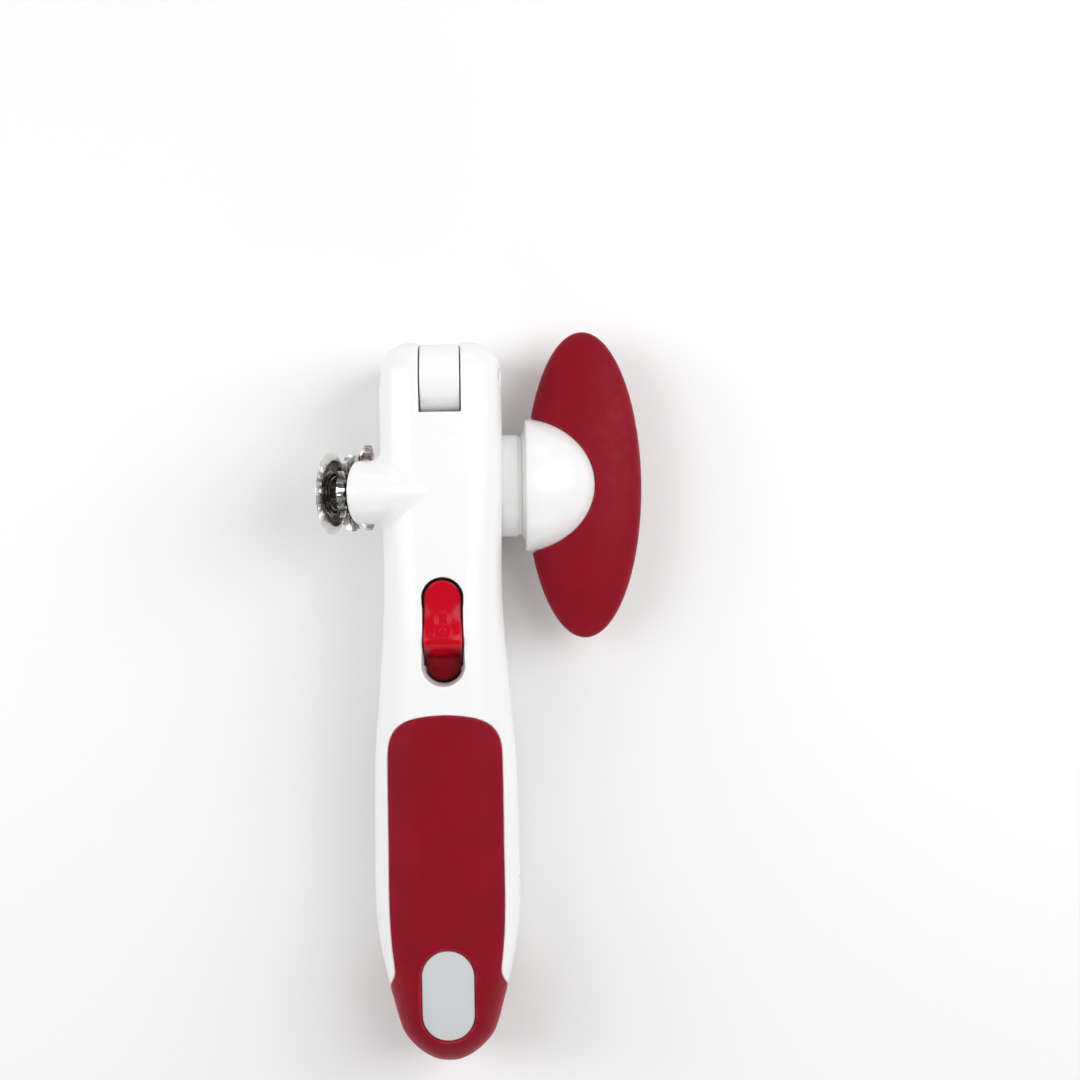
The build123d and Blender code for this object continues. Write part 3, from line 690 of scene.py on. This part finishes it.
WHITE = moulded_plastic("white_plastic", (0.88, 0.88, 0.875), (0.92, 0.92, 0.92), 0.3, 900, 0.2)
INNER = moulded_plastic("inner_plastic", (0.74, 0.74, 0.73), (0.8, 0.8, 0.79), 0.42, 1500, 0.0)
RED_GLOSS = moulded_plastic("red_plastic", (0.52, 0.001, 0.012), (0.7, 0.008, 0.025), 0.16, 800, 0.12)
RED_GLOSS.node_tree.nodes["Principled BSDF"].inputs["Specular IOR Level"].default_value = 0.12
# Painted shade: the button's surfaces turn near-black red where they lie in a hollow, such as its deep lower end.
paint_hollow_shade(RED_GLOSS, 0.007, (0.07, 0.0, 0.003))
GREY = moulded_plastic("grey_plastic", (0.6, 0.61, 0.62), (0.72, 0.72, 0.73), 0.36, 1300, 0.1)
GRIP = soft_touch("soft_grip", (0.26, 0.0026, 0.014), (0.38, 0.014, 0.033))
STEEL = (0.82, 0.81, 0.79)
CUTTER_STEEL = turned_metal("cutter_steel", STEEL, 0.16, DISC, AXLE, 5200)
# Painted shade: the disc, its pinion, axle and washer darken to a dark brown in their hollows.
paint_hollow_shade(CUTTER_STEEL, 0.006, (0.16, 0.13, 0.11))
DRIVE_STEEL = turned_metal("drive_steel", STEEL, 0.24, SHAFT, ALONG_X, 4200, (0.66, 0.58, 0.54))
# Painted shade: the drive gear, feed wheel, shaft and washer darken to a dark brown in their hollows.
paint_hollow_shade(DRIVE_STEEL, 0.005, (0.2, 0.15, 0.13))
PIN_STEEL = turned_metal("pin_steel", (0.6, 0.6, 0.6), 0.3, PIN, ALONG_X, 3000)
PLAIN_STEEL = turned_metal("plain_steel", (0.56, 0.56, 0.55), 0.34, (0, -64, 20), (0, 0, 1), 2500)
BRONZE = turned_metal("bush_bronze", (0.55, 0.34, 0.16), 0.38, SHAFT, ALONG_X, 3000)
NICKEL = turned_metal("magnet_nickel", (0.66, 0.66, 0.68), 0.22, (0, 34, 14.5), (0, 1, 0), 3500)


def paint(piece, material):
    piece.data.materials.clear()
    piece.data.materials.append(material)


def piece_for(piece, node, body_name, material):
    """Puts a new piece in the place of a CAD node."""
    paint(piece, material)
    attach(piece, body_name)
    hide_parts(node)
    return piece


# ------------------------------------------------------------------ shells, grips and buttons


def node_body(node):
    for name, members in frame["record"]["behaviour"]["bodies"].items():
        if node in members:
            return name
    raise KeyError(node)


SHELL_STEP = 0.42
SOFT_STEP = 0.36
PLATE_STEP = 0.25
FINE_STEP = 0.16


def moulded(name, node, field, step, material):
    """Meshes a field inside its CAD node's box and puts it in the node's place."""
    low, high = box_mm(node)
    piece = surface_net(name, field, low, high, step)
    return piece_for(piece, node, node_body(node), material)


moulded("upper_shell_skin", "upper_shell", upper_shell, SHELL_STEP, WHITE)
moulded("lower_shell_skin", "lower_shell", lower_shell, SHELL_STEP, WHITE)
moulded("upper_grip_skin", "upper_grip", upper_grip, SOFT_STEP, GRIP)
moulded("lower_grip_skin", "lower_grip", lower_grip, SOFT_STEP, GRIP)
moulded("end_plate_skin", "end_plate", end_plate, PLATE_STEP, GREY)
moulded("knob_wing", "knob_grip", knob_grip, SOFT_STEP, GRIP)
moulded("button_cap", "release_button", release_button, FINE_STEP, RED_GLOSS)

# ------------------------------------------------------------------ knob


def knob_dome():
    """The white dome with its flange, and the bore for the shaft."""
    flange_x = box_mm("knob_hub")[0][0]
    profile = [(flange_x, 3.1), (flange_x, 12.5)]
    profile += arc((flange_x + 0.7, 12.5), 0.7, 180, 115, 5)
    profile += arc((DOME_X - 0.5, DOME_R - 0.75), 0.7, 140, 85, 5)
    profile += [
        (DOME_X + DOME_DEPTH * math.cos(a), DOME_R * math.sin(a))
        for a in np.radians(np.linspace(88, 0, 60))
    ]
    profile += [(flange_x + 8.0, 0.0), (flange_x + 8.0, 3.1)]
    return lathe("dome", (0, 0, SHAFT[2]), ALONG_X, profile, 160)


def collar():
    low, high = box_mm("knob_collar")
    x0, x1 = low[0], high[0]
    radius = (high[2] - low[2]) / 2
    profile = [(x0, 3.05), (x0, radius - 1.0)]
    profile += arc((x0 + 0.8, radius - 0.8), 0.8, 180, 90, 6)
    profile += [(x1 - 1.1, radius), (x1 - 0.9, radius - 0.35), (x1, radius - 0.5), (x1, 3.05)]
    return lathe("collar_ring", (0, 0, SHAFT[2]), ALONG_X, profile, 128)


piece_for(knob_dome(), "knob_hub", "knob", WHITE)
piece_for(collar(), "knob_collar", "knob", WHITE)

# ------------------------------------------------------------------ wheels

# The tooth counts are twice those of the CAD gears, for the finer teeth in the photo. The
# ratio is the same 11:10, but tips and roots differ from the CAD's too.
BORE = 2.56
SHAFT_BORE = 3.02
CUTTER_TEETH = 20
CUTTER_TIP_R, CUTTER_ROOT_R = 9.3, 7.0
DRIVE_TEETH = 22
DRIVE_TIP_R, DRIVE_ROOT_R = 10.7, 8.4
FEED_TEETH = 26
GEAR_AT = 5.0
MESH_ANGLE = math.atan2((DISC + GEAR_AT * AXLE)[2] - SHAFT[2], DISC[1])
TOOTH = [(-0.33, 0.0), (-0.2, 0.28), (-0.06, 1.0), (0.06, 1.0), (0.2, 0.28), (0.33, 0.0)]


def tooth_shape(tip, root):
    """Corners of one pointed tooth, from root circle to tip and back."""
    return [(turn, root + (tip - root) * rise) for turn, rise in TOOTH]


def cutting_wheel():
    """The disc, its edge ground from both sides, with a ring groove round its hub."""
    profile = [(-1.25, BORE), (-1.3, 2.9), (-1.3, 7.2), (-1.2, 7.5), (-0.12, 9.95)]
    profile += [(0.0, 10.0), (0.1, 9.95), (0.86, 8.4), (0.9, 8.1), (0.82, 7.9)]
    profile += [(0.3, 7.7), (0.16, 7.4), (0.02, 6.2), (0.0, 5.6), (0.12, 5.35)]
    profile += [(0.55, 5.25), (0.62, 5.1), (0.62, 4.75), (0.5, 4.65), (0.3, 4.6)]
    profile += [(0.3, 4.3), (1.1, 4.2), (1.2, 4.1), (1.2, BORE)]
    return lathe("cutter_disc", DISC, AXLE, profile, 180, 24)


def cutter_gear():
    half = 1.2
    layers = [(GEAR_AT - half, 0.1, 0.2), (GEAR_AT - half + 0.15, 0, 0.32)]
    layers += [(GEAR_AT - 0.1, 0, 0.95), (GEAR_AT + 0.15, 0, 1), (GEAR_AT + half - 0.2, 0, 1)]
    layers += [(GEAR_AT + half, 0.15, 0.9)]
    phase = -(MESH_ANGLE + math.pi + math.pi / CUTTER_TEETH)
    shape = tooth_shape(CUTTER_TIP_R, CUTTER_ROOT_R)
    return toothed("cutter_pinion", DISC, AXLE, CUTTER_TEETH, shape, layers, BORE, phase)


def drive_gear():
    low, high = box_mm("drive_gear")
    x0, x1 = low[0] + 0.19, high[0]
    layers = [(x0, 0.1, 0.45), (x0 + 0.9, 0, 1), (x1 - 0.3, 0, 1), (x1, 0.3, 0.9)]
    shape = tooth_shape(DRIVE_TIP_R, DRIVE_ROOT_R)
    centre = (0, 0, SHAFT[2])
    teeth, bore = DRIVE_TEETH, SHAFT_BORE
    return toothed("drive_pinion", centre, ALONG_X, teeth, shape, layers, bore, -MESH_ANGLE)


def feed_wheel():
    low, high = box_mm("feed_wheel")
    radius = (high[1] - low[1]) / 2
    x0, x1 = low[0], high[0]
    shape = [(-0.5, radius - 0.75), (-0.08, radius), (0.08, radius)]
    layers = [(x0, 0.4, 0.6), (x0 + 0.35, 0, 1), (x1 - 0.35, 0, 1), (x1, 0.4, 0.6)]
    centre = (0, 0, SHAFT[2])
    return toothed("feed_disc", centre, ALONG_X, FEED_TEETH, shape, layers, SHAFT_BORE, 0)


def riveted_axle():
    """The cutter's axle with its domed rivet head outside the disc."""
    profile = [(-1.4, 0.0), (-2.6, 0.0), (-2.6, 2.2)]
    profile += arc((-1.9, 3.2), 0.75, 200, 90, 6) + [(-1.42, 3.95), (-1.42, 2.5)]
    profile += [(13.6, 2.5), (14.0, 2.2), (14.0, 0.0)]
    return lathe("axle_rivet", DISC, AXLE, profile, 96)


def shaft():
    low, high = box_mm("drive_shaft")
    x0, x1 = low[0], high[0]
    head = box_mm("feed_wheel")[0][0] - 0.02
    profile = [(x0, 0.0), (x0, 1.2), (x0 + 0.5, 1.5), (x0 + 0.5, 2.2), (x0, 2.5), (x0, 3.4)]
    profile += [(x0 + 0.4, 4.3), (head, 4.4), (head, 3.0), (x1 - 0.6, 3.0), (x1, 2.4), (x1, 0.0)]
    return lathe("shaft_rod", (0, 0, SHAFT[2]), ALONG_X, profile, 96)


piece_for(cutting_wheel(), "cutting_wheel", "cutter", CUTTER_STEEL)
piece_for(cutter_gear(), "cutter_gear", "cutter", CUTTER_STEEL)
piece_for(drive_gear(), "drive_gear", "knob", DRIVE_STEEL)
piece_for(feed_wheel(), "feed_wheel", "knob", DRIVE_STEEL)
piece_for(riveted_axle(), "cutter_axle", "upper_half", CUTTER_STEEL)
piece_for(shaft(), "drive_shaft", "knob", DRIVE_STEEL)

# ------------------------------------------------------------------ CAD nodes that stay

for node, material in (
    ("lower_inner_cover", INNER),
    ("upper_inner_cover", INNER),
    ("lower_cover_screws", PLAIN_STEEL),
    ("upper_cover_screws", PLAIN_STEEL),
    ("catch_screw", PLAIN_STEEL),
    ("latch_catch", PLAIN_STEEL),
    ("latch_hook", PLAIN_STEEL),
    ("lever_pin", PLAIN_STEEL),
    ("button_spring", PLAIN_STEEL),
    ("hinge_pin", PIN_STEEL),
    ("cutter_washer", CUTTER_STEEL),
    ("shaft_washer", DRIVE_STEEL),
    ("drive_bush_left", BRONZE),
    ("drive_bush_right", BRONZE),
    ("lid_magnet", NICKEL),
):
    paint(frame["nodes"][node], material)

# ------------------------------------------------------------------ stage, light and camera


def floor_material():
    material, shader = start_material("floor", (0.9, 0.9, 0.9), 0.55)
    _, wires = links(material)
    tone = spread(material, noise(material, 4, 3), 0.3, 0.7, 0, 1)
    color = blend_colors(material, tone, (0.9, 0.9, 0.9), (0.885, 0.885, 0.885))
    wires.new(color, shader.inputs["Base Color"])
    return material


def make_floor():
    reach = 2500
    corners = [(-reach, -reach, -0.05), (reach, -reach, -0.05), (reach, reach, -0.05)]
    corners += [(-reach, reach, -0.05)]
    floor = add_mesh("floor", corners, [(0, 1, 2, 3)])
    paint(floor, floor_material())


def area_light(name, place, target, size, power):
    data = bpy.data.lights.new(name, "AREA")
    data.shape = "RECTANGLE"
    data.size, data.size_y = size
    data.energy = power
    lamp = bpy.data.objects.new(name, data)
    lamp.location = place
    aim = Vector(target) - Vector(place)
    lamp.rotation_euler = aim.to_track_quat("-Z", "Y").to_euler()
    bpy.context.scene.collection.objects.link(lamp)


def make_light():
    world = bpy.data.worlds.new("studio")
    bpy.context.scene.world = world
    world.use_nodes = True
    nodes, wires = world.node_tree.nodes, world.node_tree.links
    place = nodes.new("ShaderNodeTexCoord")
    height = nodes.new("ShaderNodeSeparateXYZ")
    wires.new(place.outputs["Generated"], height.inputs[0])
    tone = nodes.new("ShaderNodeMapRange")
    limits = {"From Min": 0.0, "From Max": 0.75, "To Min": 0.32, "To Max": 0.34}
    for socket, value in limits.items():
        tone.inputs[socket].default_value = value
    wires.new(height.outputs["Z"], tone.inputs["Value"])
    background = nodes["Background"]
    background.inputs["Color"].default_value = (1, 1, 1, 1)
    wires.new(tone.outputs["Result"], background.inputs["Strength"])
    centre = (0.01, -0.05, 0.02)
    area_light("key", (0.42, 0.12, 0.5), centre, (0.35, 0.7), 2.85)
    area_light("fill", (-0.5, 0.05, 0.42), centre, (0.3, 0.8), 2.35)
    area_light("top", (0.0, 0.7, 0.32), centre, (0.8, 0.3), 0.8)
    area_light("near", (0.15, -0.75, 0.34), centre, (0.8, 0.3), 1.1)


def make_camera():
    """Straight above the front face, turned slightly, with the picture moved off its axis."""
    distance = 0.5
    field = 0.27
    axis_x = 0.012
    middle_x = 0.02414
    data = bpy.data.cameras.new("camera")
    data.sensor_width = 36
    data.lens = data.sensor_width * distance / field
    camera = bpy.data.objects.new("camera", data)
    data.shift_x = (middle_x - axis_x) / field
    camera.location = (axis_x, -0.01359, 0.022 + distance)
    camera.rotation_euler = (0, 0, math.radians(-0.806))
    bpy.context.scene.collection.objects.link(camera)
    bpy.context.scene.camera = camera


make_floor()
make_light()
make_camera()
bpy.context.scene.view_settings.view_transform = "Standard"
